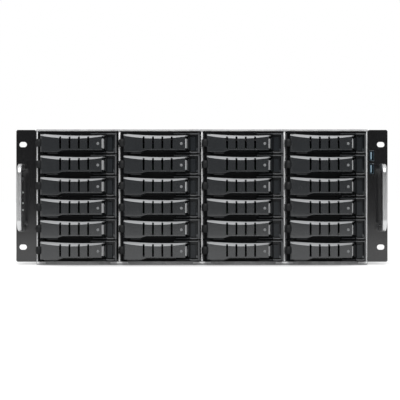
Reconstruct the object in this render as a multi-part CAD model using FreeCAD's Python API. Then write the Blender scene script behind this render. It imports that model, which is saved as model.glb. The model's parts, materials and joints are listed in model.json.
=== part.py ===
import FreeCAD, Part
import math
import os

# Rack-mount storage chassis, four units high, with a front cage of hot-swap drive carriers.
# Millimetres. +X is right, the front faces -Y and +Z is up.
# The origin is the centre of the floor pan's underside.

# Rack standard and sheet-metal body
rack_width = 482.6
ear_width = 25.8
body_depth = 660.0
sheet = 1.2
floor_gap = 4.4
top_gap = 3.0
floor_lip_height = 4.4
top_lip_height = 2.4
running_gap = 0.3
tiny = 0.001

# Bay grid, one bay for each 3.5 inch drive
columns = 4
rows = 6
drive_height = 26.1
drive_length = 147.0
drive_end_gap = 0.5
row_gap = 1.6
divider_thickness = 2.2
cage_side_thickness = 1.0
guide_height = 1.2
guide_lift = 0.4
guide_inset = 0.1

# Carrier
rail_thickness = 1.3
rail_height = 24.0
rail_lead_in = 6.0
tie_thickness = 1.3
tie_height = 4.0
bezel_margin = 0.25
bezel_side_gap = 0.5
bezel_front_gap = 1.6
bezel_proud = 7.0
bezel_inside = 3.2
window_left = 14.0
window_right_gap = 19.0
window_sill = 5.5
boss_right_gap = 1.8
boss_width = 13.4
boss_proud = 13.0
pocket_wall = 1.2
pocket_rim = 2.2
pocket_sill = 3.0
pocket_depth = 5.5
button_width = 6.4
button_recess = 0.9
button_fit = 0.3
pipe_width = 1.8
pipe_height = 3.0
pipe_length = 2.0

# Carrier lever and its hinge
lever_left = 4.6
lever_right_gap = 16.0
lever_front = 17.0
lever_thickness = 9.2
lever_height = 24.5
top_rise_left = 2.55
top_rise_right = 0.8
block_length = 22.4
slope_run = 7.6
neck_lift = 2.4
bevel_left = 2.45
bevel_middle = 3.75
bevel_right = 1.1
bevel_depth = 3.4
bottom_bevel = 1.2
tip_chamfer = 3.3
groove_first = 26.6
groove_pitch = 12.0
groove_count = 4
groove_width = 2.4
groove_drop = 1.2
groove_height = 15.7
hinge_inset = 2.0
lever_swing = 65.0
nose_overhang = 1.3
nose_sides = 8
nose_width = 8.8
nose_height = 9.4
nose_relief_gap = 0.4
lug_thickness = 0.5
lug_gap = 0.25
lug_width = 6.4
lug_reach = 3.0

# Backplanes behind the cage
connector_depth = 7.5
connector_width = 44.0
connector_height = 7.0
connector_lift = 4.2
connector_offset = 12.0
backplane_thickness = 1.6
backplane_height = 20.0
backplane_lift = 2.0
backplane_side_gap = 2.0
plug_width = 24.0
plug_depth = 11.0
plug_height = 9.0
plug_columns = (0, 2)

# Rack ears, handles and the front controls
rack_slot_inset = 8.75
rack_slot_spacing_z = 133.35
rack_slot_length = 10.0
rack_slot_width = 6.8
ear_lift = 3.9
ear_top_gap = 0.7
ear_thickness = 3.0
ear_leg_length = 44.0
ear_leg_thickness = 2.5
ear_corner = 1.6
handle_width = 6.4
handle_bottom = 43.6
handle_height = 87.4
handle_reach = 30.0
handle_bar = 8.0
handle_bend = 15.0
handle_inset = 5.3
handle_edge = 1.4
control_inset = 8.6
power_button_z = 111.7
power_button_radius = 2.1
power_button_length = 9.0
power_button_proud = 1.9
power_button_travel = 1.5
power_button_fit = 0.3
switch_housing_side = 8.0
switch_housing_depth = 12.0
led_top_z = 94.0
led_middle_z = 80.0
led_bottom_z = 71.0
led_side = 2.4
led_length = 4.0
led_proud = 0.5
usb_inset = 5.4
usb_upper_z = 141.7
usb_lower_z = 124.8
usb_width = 5.4
usb_height = 13.0
usb_depth = 14.0
usb_wall = 0.5
usb_tongue = 1.8
usb_tongue_height = 9.6
usb_fit = 0.15

# Fan wall
fan_count = 3
fan_size = 120.0
fan_depth = 25.0
fan_bore_radius = 58.0
fan_centre_z = 88.0
fan_wall_setback = 70.0
fan_wall_flange = 14.0
fan_wall_headroom = 3.0
fan_corner = 6.0
motor_width = 40.0
motor_depth = 4.0
strut_width = 5.0
strut_root = 1.0
opening_sides = 8
hub_sides = 16
hub_width = 38.0
rotor_tip_gap = 1.5
rotor_end_gap = 0.4
rotor_front_gap = 1.5
blade_count = 5
blade_chord = 24.0
blade_thickness = 1.6
blade_pitch = 38.0

# Top cover and the fixed panel over the cage
front_panel_overlap = 12.0
cover_gap = 0.5
cover_seat_gap = 0.1
cover_flange_height = 15.0
cover_flange_thickness = 1.0

# Rear panel and board tray
expansion_count = 7
expansion_inset = 30.3
expansion_pitch = 20.32
expansion_width = 12.8
expansion_bottom = 12.0
expansion_height = 106.0
slot_cover_width = 18.4
slot_cover_margin = 5.0
slot_cover_thickness = 0.9
io_gap = 4.3
io_width = 158.75
io_bottom = 8.0
io_height = 44.45
supply_inset = 10.3
supply_width = 78.0
supply_bottom = 14.0
supply_height = 142.0
rear_fan_spacing = 84.0
rear_fan_centre_z = 118.0
rear_fan_radius = 37.0
rear_fan_bar = 3.0
rear_fan_slot_count = 8
post_sides = 6
post_across_flats = 5.0
post_height = 6.5
post_inset = 38.3
post_rear_gap = 12.0
post_middle_column = 157.48
post_last_column = 281.94
post_middle_line = 154.94
post_last_line = 227.33

# Sizes that follow from the rack, the drive and the sheet
body_width = rack_width - 2 * ear_width
inside_width = body_width - 2 * sheet
cell_left = -inside_width / 2 + cage_side_thickness
bay_width = (-2 * cell_left - (columns - 1) * divider_thickness) / columns
column_pitch = bay_width + divider_thickness
row_pitch = drive_height + row_gap
stack_bottom = sheet + floor_gap
stack_top = stack_bottom + rows * row_pitch
wall_top = stack_top + top_gap
body_height = wall_top + sheet
ear_height = body_height - ear_lift - ear_top_gap
front = -body_depth / 2
rear = body_depth / 2
drive_front = front + bezel_inside + drive_end_gap
drive_rear = drive_front + drive_length
connector_front = drive_rear + drive_end_gap
backplane_front = connector_front + connector_depth
backplane_rear = backplane_front + backplane_thickness
fan_wall_front = backplane_rear + fan_wall_setback
front_panel_end = backplane_rear + front_panel_overlap
rail_bottom = guide_lift + guide_height + running_gap
rack_slot_x = rack_width / 2 - rack_slot_inset
control_x = rack_width / 2 - control_inset
usb_x = body_width / 2 + usb_inset
led_heights = (led_top_z, led_middle_z, led_bottom_z)
usb_heights = (usb_upper_z, usb_lower_z)
expansion_first = -inside_width / 2 + expansion_inset
io_left = expansion_first + (expansion_count - 1) * expansion_pitch + expansion_width + io_gap
supply_left = inside_width / 2 - supply_inset - supply_width
post_left = -inside_width / 2 + post_inset
post_columns = (0.0, post_middle_column, post_last_column)
post_lines = (0.0, post_middle_line, post_last_line)


def box(x0, x1, y0, y1, z0, z1):
    return Part.makeBox(x1 - x0, y1 - y0, z1 - z0, FreeCAD.Vector(x0, y0, z0))


def cylinder_y(radius, length, x, y, z):
    return Part.makeCylinder(radius, length, FreeCAD.Vector(x, y, z), FreeCAD.Vector(0, 1, 0))


def square_y(side, length, x, y, z):
    half = side / 2
    return box(x - half, x + half, y, y + length, z - half, z + half)


def prism(points, direction):
    corners = [FreeCAD.Vector(*point) for point in points]
    corners.append(corners[0])
    return Part.Face(Part.makePolygon(corners)).extrude(FreeCAD.Vector(*direction))


# Corners of a regular polygon round its centre, of the given width across its flats
def polygon(sides, across_flats):
    radius = across_flats / 2 / math.cos(math.pi / sides)
    turns = [(index + 0.5) * 2 * math.pi / sides for index in range(sides)]
    return [(radius * math.cos(turn), radius * math.sin(turn)) for turn in turns]


def moved(shape, x, y, z):
    copy = shape.copy()
    copy.translate(FreeCAD.Vector(x, y, z))
    return copy


def save(node, solids):
    Part.makeCompound(solids).exportStep(os.path.join("parts", node + ".step"))


def bay_origin(row, column):
    x = cell_left + column * column_pitch
    z = stack_top - (row + 1) * row_pitch
    return x, front, z


# One carrier, drawn in its bay's own corner: x from the left divider, y from the cage's front edge

lever_bottom = bezel_margin + lug_thickness + lug_gap
lever_top = lever_bottom + lever_height
lever_right = bay_width - lever_right_gap
lever_middle = (lever_left + lever_right) / 2
lever_sag = lever_top - top_rise_left
hinge_x = lever_left + hinge_inset
hinge_y = lever_thickness / 2 - lever_front
nose_x = lever_left - nose_overhang
nose_bottom = (row_pitch - nose_height) / 2
bezel_bottom = bezel_margin
bezel_top = row_pitch - bezel_margin
boss_right = bay_width - boss_right_gap
boss_left = boss_right - boss_width
pocket_left = boss_left + pocket_wall
pocket_right = boss_right - pocket_rim
pocket_bottom = bezel_bottom + pocket_sill
pocket_top = bezel_top - pocket_sill
pocket_rear = -boss_proud + pocket_depth


def carrier_bezel():
    flange = box(bezel_side_gap, bay_width - bezel_side_gap, 0, bezel_inside, bezel_bottom, bezel_top)
    plate = box(bezel_front_gap, boss_right, -bezel_proud, 0, bezel_bottom, bezel_top)
    boss = box(boss_left, boss_right, -boss_proud, -bezel_proud, bezel_bottom, bezel_top)
    bezel = flange.fuse(plate).fuse(boss)
    for low, high in ((bezel_bottom, lever_bottom - lug_gap), (lever_top + lug_gap, bezel_top)):
        lug = box(hinge_x - lug_width / 2, hinge_x + lug_width / 2, hinge_y - lug_reach, -bezel_proud, low, high)
        bezel = bezel.fuse(lug)
    window = box(window_left, bay_width - window_right_gap, -bezel_proud, bezel_inside,
                 window_sill, row_pitch - window_sill)
    pocket = box(pocket_left, pocket_right, -boss_proud, pocket_rear, pocket_bottom, pocket_top)
    return bezel.cut(window).cut(pocket).cut(nose_relief()).removeSplitter()


# Room in the bezel for the nose of the lever, which swings back as the lever opens
def nose_relief():
    swing = math.radians(lever_swing)
    arm = hinge_x - nose_x
    reach = nose_width / 2 / math.cos(math.pi / nose_sides) + nose_relief_gap
    return box(bezel_front_gap, hinge_x - arm * math.cos(swing) + reach,
               -bezel_proud, hinge_y + arm * math.sin(swing) + reach,
               nose_bottom - nose_relief_gap, nose_bottom + nose_height + nose_relief_gap)


# The release button and the light pipe stand side by side on the pocket's floor
def release_button():
    left = pocket_left + button_fit
    return box(left, left + button_width, -boss_proud + button_recess, pocket_rear,
               pocket_bottom + button_fit, pocket_top - button_fit)


def light_pipe():
    right = pocket_right - button_fit
    bottom = pocket_bottom + button_fit
    return box(right - pipe_width, right, pocket_rear - pipe_length, pocket_rear, bottom, bottom + pipe_height)


def carrier_rail(left):
    end = drive_rear + drive_end_gap + tie_thickness - front
    top = rail_bottom + rail_height
    side = [(left, bezel_inside, rail_bottom),
            (left, end - rail_lead_in, rail_bottom),
            (left, end, rail_bottom + rail_lead_in),
            (left, end, top),
            (left, bezel_inside, top)]
    return prism(side, (rail_thickness, 0, 0))


def carrier_solids():
    left_rail_x = running_gap
    right_rail_x = bay_width - running_gap - rail_thickness
    tie_front = drive_rear + drive_end_gap - front
    tie_top = rail_bottom + rail_height
    tie = box(left_rail_x + rail_thickness, right_rail_x, tie_front, tie_front + tie_thickness,
              tie_top - tie_height, tie_top)
    rails = [carrier_rail(left_rail_x), carrier_rail(right_rail_x)]
    return [carrier_bezel(), tie, release_button(), light_pipe()] + rails


# Outline of the lever at a depth behind its front face: a block at the hinge, a shallower neck and one long
# sagging top edge. Each argument says how far that edge is drawn in there.
def lever_outline(depth, top_left, top_middle, top_right, bottom, tip):
    right = lever_right - tip
    low = lever_bottom + bottom
    neck = low + neck_lift
    block_end = lever_left + block_length
    tip_top = lever_sag + top_rise_right - top_right

    def at(x, z):
        return FreeCAD.Vector(x, depth - lever_front, z)

    corners = [at(lever_left, lever_top - top_left), at(lever_left, low), at(block_end, low),
               at(block_end + slope_run, neck), at(right, neck), at(right, tip_top)]
    sag = Part.Arc(corners[-1], at(lever_middle, lever_sag - top_middle), corners[0]).toShape()
    return Part.Wire([Part.makePolygon(corners), sag])


def carrier_lever():
    face = lever_outline(0, bevel_left, bevel_middle, bevel_right, bottom_bevel, tip_chamfer)
    shoulder = lever_outline(bevel_depth, 0, 0, 0, 0, 0)
    lever = Part.makeLoft([face, shoulder], True, True)
    lever = lever.fuse(Part.Face(shoulder).extrude(FreeCAD.Vector(0, lever_thickness - bevel_depth, 0)))
    nose = prism([(nose_x + u, hinge_y + v, nose_bottom) for u, v in polygon(nose_sides, nose_width)],
                 (0, 0, nose_height))
    lever = lever.fuse(nose)
    groove_top = lever_sag - groove_drop
    for index in range(groove_count):
        centre = lever_left + groove_first + index * groove_pitch
        lever = lever.cut(box(centre - groove_width / 2, centre + groove_width / 2,
                              -lever_front, -lever_front + lever_thickness,
                              groove_top - groove_height, groove_top))
    return lever.removeSplitter()


def drive_cage():
    solids = []
    for index in range(columns + 1):
        left = cell_left + index * column_pitch - divider_thickness
        right = left + divider_thickness
        if index == 0:
            left = right - cage_side_thickness
        if index == columns:
            right = left + cage_side_thickness
        plate = box(left, right, front, backplane_front, sheet, wall_top)
        solids.append(plate.cut(box(left, right, front, front + sheet, sheet, floor_lip_height)))
    guide_front = front + bezel_inside + running_gap
    guide_width = rail_thickness + running_gap - guide_inset
    for row in range(rows):
        for column in range(columns):
            x, y, z = bay_origin(row, column)
            for left in (x, x + bay_width - guide_width):
                solids.append(box(left, left + guide_width, guide_front, backplane_front,
                                  z + guide_lift, z + guide_lift + guide_height))
    return solids


def backplanes():
    solids = []
    half = inside_width / 2 - backplane_side_gap
    for row in range(rows):
        x, y, z = bay_origin(row, 0)
        bottom = z + backplane_lift
        solids.append(box(-half, half, backplane_front, backplane_rear, bottom, bottom + backplane_height))
        low = z + connector_lift
        for column in range(columns):
            centre = cell_left + column * column_pitch + bay_width / 2
            left = centre + connector_offset - connector_width / 2
            solids.append(box(left, left + connector_width, connector_front, backplane_front,
                              low, low + connector_height))
        for column in plug_columns:
            left = cell_left + column * column_pitch + (bay_width - plug_width) / 2
            solids.append(box(left, left + plug_width, backplane_rear, backplane_rear + plug_depth,
                              low, low + plug_height))
    return solids


def rack_slot(x, z):
    half = (rack_slot_length - rack_slot_width) / 2
    radius = rack_slot_width / 2
    slot = box(x - half, x + half, front, front + ear_thickness, z - radius, z + radius)
    for side in (x - half, x + half):
        slot = slot.fuse(cylinder_y(radius, ear_thickness, side, front, z))
    return slot


# side is -1 for the left ear and +1 for the right ear
def rack_ear(side):
    wall = side * body_width / 2
    leg = wall + side * ear_leg_thickness
    edge = side * rack_width / 2
    top = ear_lift + ear_height
    inner_edge = edge - side * ear_corner
    outline = [(wall, front, ear_lift),
               (inner_edge, front, ear_lift),
               (edge, front, ear_lift + ear_corner),
               (edge, front, top - ear_corner),
               (inner_edge, front, top),
               (wall, front, top)]
    ear = prism(outline, (0, ear_thickness, 0))
    ear = ear.fuse(box(min(wall, leg), max(wall, leg), front, front + ear_leg_length, ear_lift, top))
    middle = ear_lift + ear_height / 2
    for lift in (-rack_slot_spacing_z / 2, rack_slot_spacing_z / 2):
        ear = ear.cut(rack_slot(side * rack_slot_x, middle + lift))
    return ear.removeSplitter()


def left_ear():
    ear = rack_ear(-1)
    ear = ear.cut(cylinder_y(power_button_radius + power_button_fit, ear_thickness,
                             -control_x, front, power_button_z))
    for height in led_heights:
        ear = ear.cut(square_y(led_side, ear_thickness, -control_x, front, height))
    return ear


def right_ear():
    ear = rack_ear(1)
    half_width = usb_width / 2 + usb_fit
    half_height = usb_height / 2 + usb_fit
    for height in usb_heights:
        ear = ear.cut(box(usb_x - half_width, usb_x + half_width, front, front + ear_thickness,
                          height - half_height, height + half_height))
    return ear


# A pull handle is a bar bent to a U in the Y-Z plane, with its two feet on the ear's front face and its long
# edges chamfered
def ear_handle(side):
    edge = side * (rack_width / 2 - handle_inset)
    left = min(edge, edge - side * handle_width)
    top = handle_bottom + handle_height
    reach = front - handle_reach

    def ring(grow):
        bend = handle_bend - grow
        low = handle_bottom + grow
        high = top - grow
        out = reach + grow
        turn = bend * (1 - math.sqrt(0.5))

        def at(y, z):
            return FreeCAD.Vector(left, y, z)

        return [Part.LineSegment(at(front, low), at(out + bend, low)).toShape(),
                Part.Arc(at(out + bend, low), at(out + turn, low + turn), at(out, low + bend)).toShape(),
                Part.LineSegment(at(out, low + bend), at(out, high - bend)).toShape(),
                Part.Arc(at(out, high - bend), at(out + turn, high - turn), at(out + bend, high)).toShape(),
                Part.LineSegment(at(out + bend, high), at(front, high)).toShape()]

    def filled(grow):
        edges = ring(grow)
        first = edges[0].Vertexes[0].Point
        last = edges[-1].Vertexes[-1].Point
        edges.append(Part.LineSegment(last, first).toShape())
        return Part.Face(Part.Wire(edges)).extrude(FreeCAD.Vector(handle_width, 0, 0))

    handle = filled(0).cut(filled(handle_bar))
    long_edges = [edge for edge in handle.Edges
                  if edge.BoundBox.XLength < tiny and edge.BoundBox.YMin < front - tiny]
    return handle.makeChamfer(handle_edge, long_edges)


def front_controls():
    solids = []
    for height in led_heights:
        solids.append(square_y(led_side, led_length, -control_x, front - led_proud, height))
    switch_front = front + ear_thickness
    housing = square_y(switch_housing_side, switch_housing_depth, -control_x, switch_front, power_button_z)
    well_depth = power_button_length - power_button_proud - ear_thickness + power_button_travel + running_gap
    well_side = 2 * (power_button_radius + power_button_fit)
    solids.append(housing.cut(square_y(well_side, well_depth, -control_x, switch_front, power_button_z)))
    for height in usb_heights:
        half_width = usb_width / 2
        half_height = usb_height / 2
        shell = box(usb_x - half_width, usb_x + half_width, front, front + usb_depth,
                    height - half_height, height + half_height)
        mouth = box(usb_x - half_width + usb_wall, usb_x + half_width - usb_wall,
                    front, front + usb_depth - usb_wall,
                    height - half_height + usb_wall, height + half_height - usb_wall)
        solids.append(shell.cut(mouth))
        tongue_left = usb_x - half_width + 2 * usb_wall
        solids.append(box(tongue_left, tongue_left + usb_tongue, front + usb_wall, front + usb_depth - usb_wall,
                          height - usb_tongue_height / 2, height + usb_tongue_height / 2))
    return solids


def power_button():
    return cylinder_y(power_button_radius, power_button_length,
                      -control_x, front - power_button_proud, power_button_z)


def fan_frame(centre):
    half = fan_size / 2
    outline = [(centre - half + fan_corner, fan_wall_front - fan_depth, fan_centre_z - half),
               (centre + half - fan_corner, fan_wall_front - fan_depth, fan_centre_z - half),
               (centre + half, fan_wall_front - fan_depth, fan_centre_z - half + fan_corner),
               (centre + half, fan_wall_front - fan_depth, fan_centre_z + half - fan_corner),
               (centre + half - fan_corner, fan_wall_front - fan_depth, fan_centre_z + half),
               (centre - half + fan_corner, fan_wall_front - fan_depth, fan_centre_z + half),
               (centre - half, fan_wall_front - fan_depth, fan_centre_z + half - fan_corner),
               (centre - half, fan_wall_front - fan_depth, fan_centre_z - half + fan_corner)]
    frame = prism(outline, (0, fan_depth, 0))
    frame = frame.cut(cylinder_y(fan_bore_radius, fan_depth, centre, fan_wall_front - fan_depth, fan_centre_z))
    mount_front = fan_wall_front - motor_depth
    reach = fan_bore_radius + strut_root
    half_strut = strut_width / 2
    mount = prism([(centre + x, mount_front, fan_centre_z + z) for x, z in polygon(opening_sides, motor_width)],
                  (0, motor_depth, 0))
    mount = mount.fuse(box(centre - reach, centre + reach, mount_front, fan_wall_front,
                           fan_centre_z - half_strut, fan_centre_z + half_strut))
    mount = mount.fuse(box(centre - half_strut, centre + half_strut, mount_front, fan_wall_front,
                           fan_centre_z - reach, fan_centre_z + reach))
    return frame.fuse(mount).removeSplitter()


def fan_opening(centre):
    corners = polygon(opening_sides, 2 * fan_bore_radius)
    return prism([(centre + x, fan_wall_front, fan_centre_z + z) for x, z in corners], (0, sheet, 0))


def fan_wall():
    half = inside_width / 2 - cage_side_thickness
    top = wall_top - fan_wall_headroom
    wall = box(-half, half, fan_wall_front, fan_wall_front + sheet, sheet, top)
    flange = box(-half, half, fan_wall_front, fan_wall_front + fan_wall_flange, sheet, 2 * sheet)
    wall = wall.fuse(flange)
    solids = []
    for centre in fan_centres():
        wall = wall.cut(fan_opening(centre))
        solids.append(fan_frame(centre))
    solids.append(wall.removeSplitter())
    return solids


def fan_centres():
    spacing = -2 * cell_left / fan_count
    return [(index - (fan_count - 1) / 2) * spacing for index in range(fan_count)]


def fan_rotor(centre):
    hub_front = fan_wall_front - fan_depth + rotor_front_gap
    hub_rear = fan_wall_front - motor_depth - rotor_end_gap
    rotor = prism([(centre + x, hub_front, fan_centre_z + z) for x, z in polygon(hub_sides, hub_width)],
                  (0, hub_rear - hub_front, 0))
    middle = (hub_front + hub_rear) / 2
    tip = math.sqrt((fan_bore_radius - rotor_tip_gap) ** 2 - (blade_chord / 2) ** 2)
    axis = FreeCAD.Vector(0, 1, 0)
    pivot = FreeCAD.Vector(centre, middle, fan_centre_z)
    for index in range(blade_count):
        blade = box(centre - blade_chord / 2, centre + blade_chord / 2,
                    middle - blade_thickness / 2, middle + blade_thickness / 2,
                    fan_centre_z + hub_width / 2 - blade_thickness, fan_centre_z + tip)
        blade.rotate(pivot, FreeCAD.Vector(0, 0, 1), blade_pitch)
        blade.rotate(pivot, axis, index * 360.0 / blade_count)
        rotor = rotor.fuse(blade)
    return rotor.removeSplitter()


def floor_pan():
    pan = box(-body_width / 2, body_width / 2, front, rear, 0, sheet)
    lip = box(-body_width / 2, body_width / 2, front, front + sheet, sheet, floor_lip_height)
    return pan.fuse(lip).removeSplitter()


def side_walls():
    walls = []
    for left in (-body_width / 2, body_width / 2 - sheet):
        walls.append(box(left, left + sheet, front + sheet, rear, sheet, wall_top))
    return walls


def front_panel():
    panel = box(-body_width / 2, body_width / 2, front, front_panel_end, wall_top, body_height)
    lip = box(-inside_width / 2, inside_width / 2, front - running_gap - sheet, front - running_gap,
              body_height - top_lip_height, body_height)
    bridge = box(-inside_width / 2, inside_width / 2, front - running_gap - sheet, front, wall_top, body_height)
    return panel.fuse(lip).fuse(bridge).removeSplitter()


def expansion_lefts():
    return [expansion_first + index * expansion_pitch for index in range(expansion_count)]


def rear_fan_vents():
    cuts = []
    pitch = 2 * rear_fan_radius / rear_fan_slot_count
    middle = io_left + io_width / 2
    for centre in (middle - rear_fan_spacing / 2, middle + rear_fan_spacing / 2):
        for index in range(rear_fan_slot_count):
            offset = (index + 0.5) * pitch - rear_fan_radius
            half = math.sqrt(rear_fan_radius ** 2 - offset ** 2)
            left = centre + offset - (pitch - rear_fan_bar) / 2
            cuts.append(box(left, left + pitch - rear_fan_bar, rear - sheet, rear,
                            rear_fan_centre_z - half, rear_fan_centre_z + half))
    return cuts


def rear_panel():
    half = inside_width / 2
    panel = box(-half, half, rear - sheet, rear, sheet, wall_top)
    cuts = [box(io_left, io_left + io_width, rear - sheet, rear, io_bottom, io_bottom + io_height),
            box(supply_left, supply_left + supply_width, rear - sheet, rear,
                supply_bottom, supply_bottom + supply_height)]
    for left in expansion_lefts():
        cuts.append(box(left, left + expansion_width, rear - sheet, rear,
                        expansion_bottom, expansion_bottom + expansion_height))
    return panel.cut(Part.makeCompound(cuts + rear_fan_vents()))


def slot_covers():
    covers = []
    for left in expansion_lefts():
        cover_left = left + (expansion_width - slot_cover_width) / 2
        inner = rear - sheet - slot_cover_thickness
        covers.append(box(cover_left, cover_left + slot_cover_width, inner, rear - sheet,
                          expansion_bottom - slot_cover_margin,
                          expansion_bottom + expansion_height + slot_cover_margin))
    return covers


def board_posts():
    posts = []
    for column in post_columns:
        for line in post_lines:
            x = post_left + column
            y = rear - sheet - post_rear_gap - line
            corners = polygon(post_sides, post_across_flats)
            posts.append(prism([(x + u, y + v, sheet) for u, v in corners], (0, 0, post_height)))
    return posts


def chassis_base():
    solids = [floor_pan(), front_panel(), rear_panel()]
    return solids + side_walls() + slot_covers() + board_posts()


def top_cover():
    half = body_width / 2 + running_gap
    outer = half + cover_flange_thickness
    start = front_panel_end + cover_gap
    seat = wall_top + cover_seat_gap
    low = body_height - cover_flange_height
    cover = box(-outer, outer, start, rear, seat, body_height)
    for left in (-outer, half):
        cover = cover.fuse(box(left, left + cover_flange_thickness, start, rear, low, seat))
    return cover.removeSplitter()


os.makedirs("parts", exist_ok=True)

carrier = carrier_solids()
lever = carrier_lever()
for row in range(rows):
    for column in range(columns):
        place = bay_origin(row, column)
        bay = "_r%d_c%d" % (row + 1, column + 1)
        save("carrier" + bay, [moved(solid, *place) for solid in carrier])
        save("lever" + bay, [moved(lever, *place)])

save("chassis_base", chassis_base())
save("top_cover", [top_cover()])
save("drive_cage", drive_cage())
save("backplanes", backplanes())
save("rack_ears", [left_ear(), right_ear()])
save("ear_handles", [ear_handle(-1), ear_handle(1)])
save("front_controls", front_controls())
save("power_button", [power_button()])
save("fan_wall", fan_wall())
for name, centre in zip(("left", "centre", "right"), fan_centres()):
    save("fan_rotor_" + name, [fan_rotor(centre)])
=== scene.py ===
import json
import math

import bmesh
import bpy
from bmesh.types import BMEdge, BMFace, BMVert
from mathutils import Matrix, Vector


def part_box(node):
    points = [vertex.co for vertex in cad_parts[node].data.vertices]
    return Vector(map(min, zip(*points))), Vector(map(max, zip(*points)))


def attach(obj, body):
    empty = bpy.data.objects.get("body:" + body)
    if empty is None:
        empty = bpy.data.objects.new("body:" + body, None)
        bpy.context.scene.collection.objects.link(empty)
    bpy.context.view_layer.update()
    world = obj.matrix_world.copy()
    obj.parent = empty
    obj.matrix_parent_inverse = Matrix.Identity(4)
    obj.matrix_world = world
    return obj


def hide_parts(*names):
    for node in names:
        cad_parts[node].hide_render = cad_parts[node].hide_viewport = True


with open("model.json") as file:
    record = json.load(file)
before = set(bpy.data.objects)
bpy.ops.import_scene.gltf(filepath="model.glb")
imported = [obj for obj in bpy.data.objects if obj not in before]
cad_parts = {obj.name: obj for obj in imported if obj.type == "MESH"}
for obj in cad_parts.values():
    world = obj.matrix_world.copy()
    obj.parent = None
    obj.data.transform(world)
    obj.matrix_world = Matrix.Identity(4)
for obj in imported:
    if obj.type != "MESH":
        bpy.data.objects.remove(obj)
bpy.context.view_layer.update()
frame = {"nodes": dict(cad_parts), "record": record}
nodes = frame["nodes"]
mm = 0.001
tolerance = 0.1 * mm  # CAD corners nearer than this to a plane lie in it
rowCount = 6
columnCount = 4
bays = ["r%d_c%d" % (row, column) for row in range(1, rowCount + 1) for column in range(1, columnCount + 1)]
fanSides = ("left", "centre", "right")


# small helpers for shader trees
def plug(tree, value, socket):  # another socket is linked, a plain value is set
    if isinstance(value, bpy.types.NodeSocket):
        tree.links.new(value, socket)
    else:
        socket.default_value = (*value, 1.0) if socket.type == "RGBA" else value


def fillIn(tree, node, **values):  # properties and inputs by name
    for name, value in values.items():
        if hasattr(node, name):
            setattr(node, name, value)
        else:
            plug(tree, value, node.inputs[name.replace("_", " ")])
    return node


def addNode(tree, kind, **values):
    return fillIn(tree, tree.nodes.new(kind), **values)


def noiseAt(tree, place, scale, detail=2.0, roughness=0.5):
    noise = addNode(tree, "ShaderNodeTexNoise", Vector=place, Scale=scale, Detail=detail, Roughness=roughness)
    return noise.outputs["Fac"]


def ranged(tree, value, low, high, start=0.0, end=1.0):  # a value in start..end moved to low..high
    node = addNode(tree, "ShaderNodeMapRange", Value=value, From_Min=start, From_Max=end, To_Min=low,
                   To_Max=high)
    return node.outputs["Result"]


def maths(tree, operation, *values):
    node = addNode(tree, "ShaderNodeMath", operation=operation)
    for value, socket in zip(values, node.inputs):
        plug(tree, value, socket)
    return node.outputs[0]


def newGroup(name, settings, outputs):
    group = bpy.data.node_groups.new(name, "ShaderNodeTree")
    group.interface.new_socket(name="Vector", in_out="INPUT", socket_type="NodeSocketVector")
    for label, value in settings.items():
        kind = "NodeSocketVector" if isinstance(value, tuple) else "NodeSocketFloat"
        group.interface.new_socket(name=label, in_out="INPUT", socket_type=kind).default_value = value
    for label in outputs:
        group.interface.new_socket(name=label, in_out="OUTPUT", socket_type="NodeSocketFloat")
    return group, group.nodes.new("NodeGroupInput").outputs, group.nodes.new("NodeGroupOutput")


def makeGrainGroup():  # fine moulded grain, the spark-eroded texture of the tool
    group, start, end = newGroup("mouldGrain", {"Scale": 3000.0}, ("Height", "Mask"))
    fine = noiseAt(group, start["Vector"], start["Scale"], detail=3.0)
    broad = noiseAt(group, start["Vector"], 55.0, detail=4.0)
    fillIn(group, end, Height=fine, Mask=broad)
    return group


def makeSmearGroup():  # handling marks: broad cloudy smears with sparse thin scuffs
    group, start, end = newGroup("handlingMarks", {"Scale": 18.0}, ("Smear", "Scuff"))
    cloud = noiseAt(group, start["Vector"], start["Scale"], detail=5.0, roughness=0.6)
    scuff = noiseAt(group, start["Vector"], 90.0, detail=8.0, roughness=0.75)
    fillIn(group, end, Smear=cloud, Scuff=ranged(group, scuff, 0.0, 1.0, start=0.6, end=0.72))
    return group


def makeRolledGroup():  # fine lines along one axis, with a faint cloud of plating crystals
    group, start, end = newGroup("rolledLines", {"Stretch": (900.0, 12.0, 900.0)}, ("Lines", "Crystals"))
    mapping = addNode(group, "ShaderNodeMapping", Vector=start["Vector"], Scale=start["Stretch"])
    crystals = addNode(group, "ShaderNodeTexVoronoi", Vector=start["Vector"], Scale=160.0, Randomness=1.0)
    lines = noiseAt(group, mapping.outputs["Vector"], 1.0, detail=3.0)
    fillIn(group, end, Lines=lines, Crystals=crystals.outputs["Color"])
    return group


grainGroup = makeGrainGroup()
smearGroup = makeSmearGroup()
rolledGroup = makeRolledGroup()
print("shader groups: grain, handling marks, rolled lines")


def startMaterial(name):
    material = bpy.data.materials.new(name)
    material.use_nodes = True
    tree = material.node_tree
    shader = tree.nodes["Principled BSDF"]
    place = tree.nodes.new("ShaderNodeTexCoord").outputs["Object"]
    return material, tree, shader, place


def placeGroup(tree, group, place, **values):
    return addNode(tree, "ShaderNodeGroup", node_tree=group, Vector=place, **values).outputs


def mixedColour(tree, mask, dark, light):
    mix = addNode(tree, "ShaderNodeMix", data_type="RGBA", A=dark, B=light, Factor=mask)
    return mix.outputs["Result"]


def bumped(tree, height, look):
    bump = addNode(tree, "ShaderNodeBump", Height=height, Strength=look["bump"], Distance=look["bumpDepth"])
    return bump.outputs["Normal"]


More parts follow.
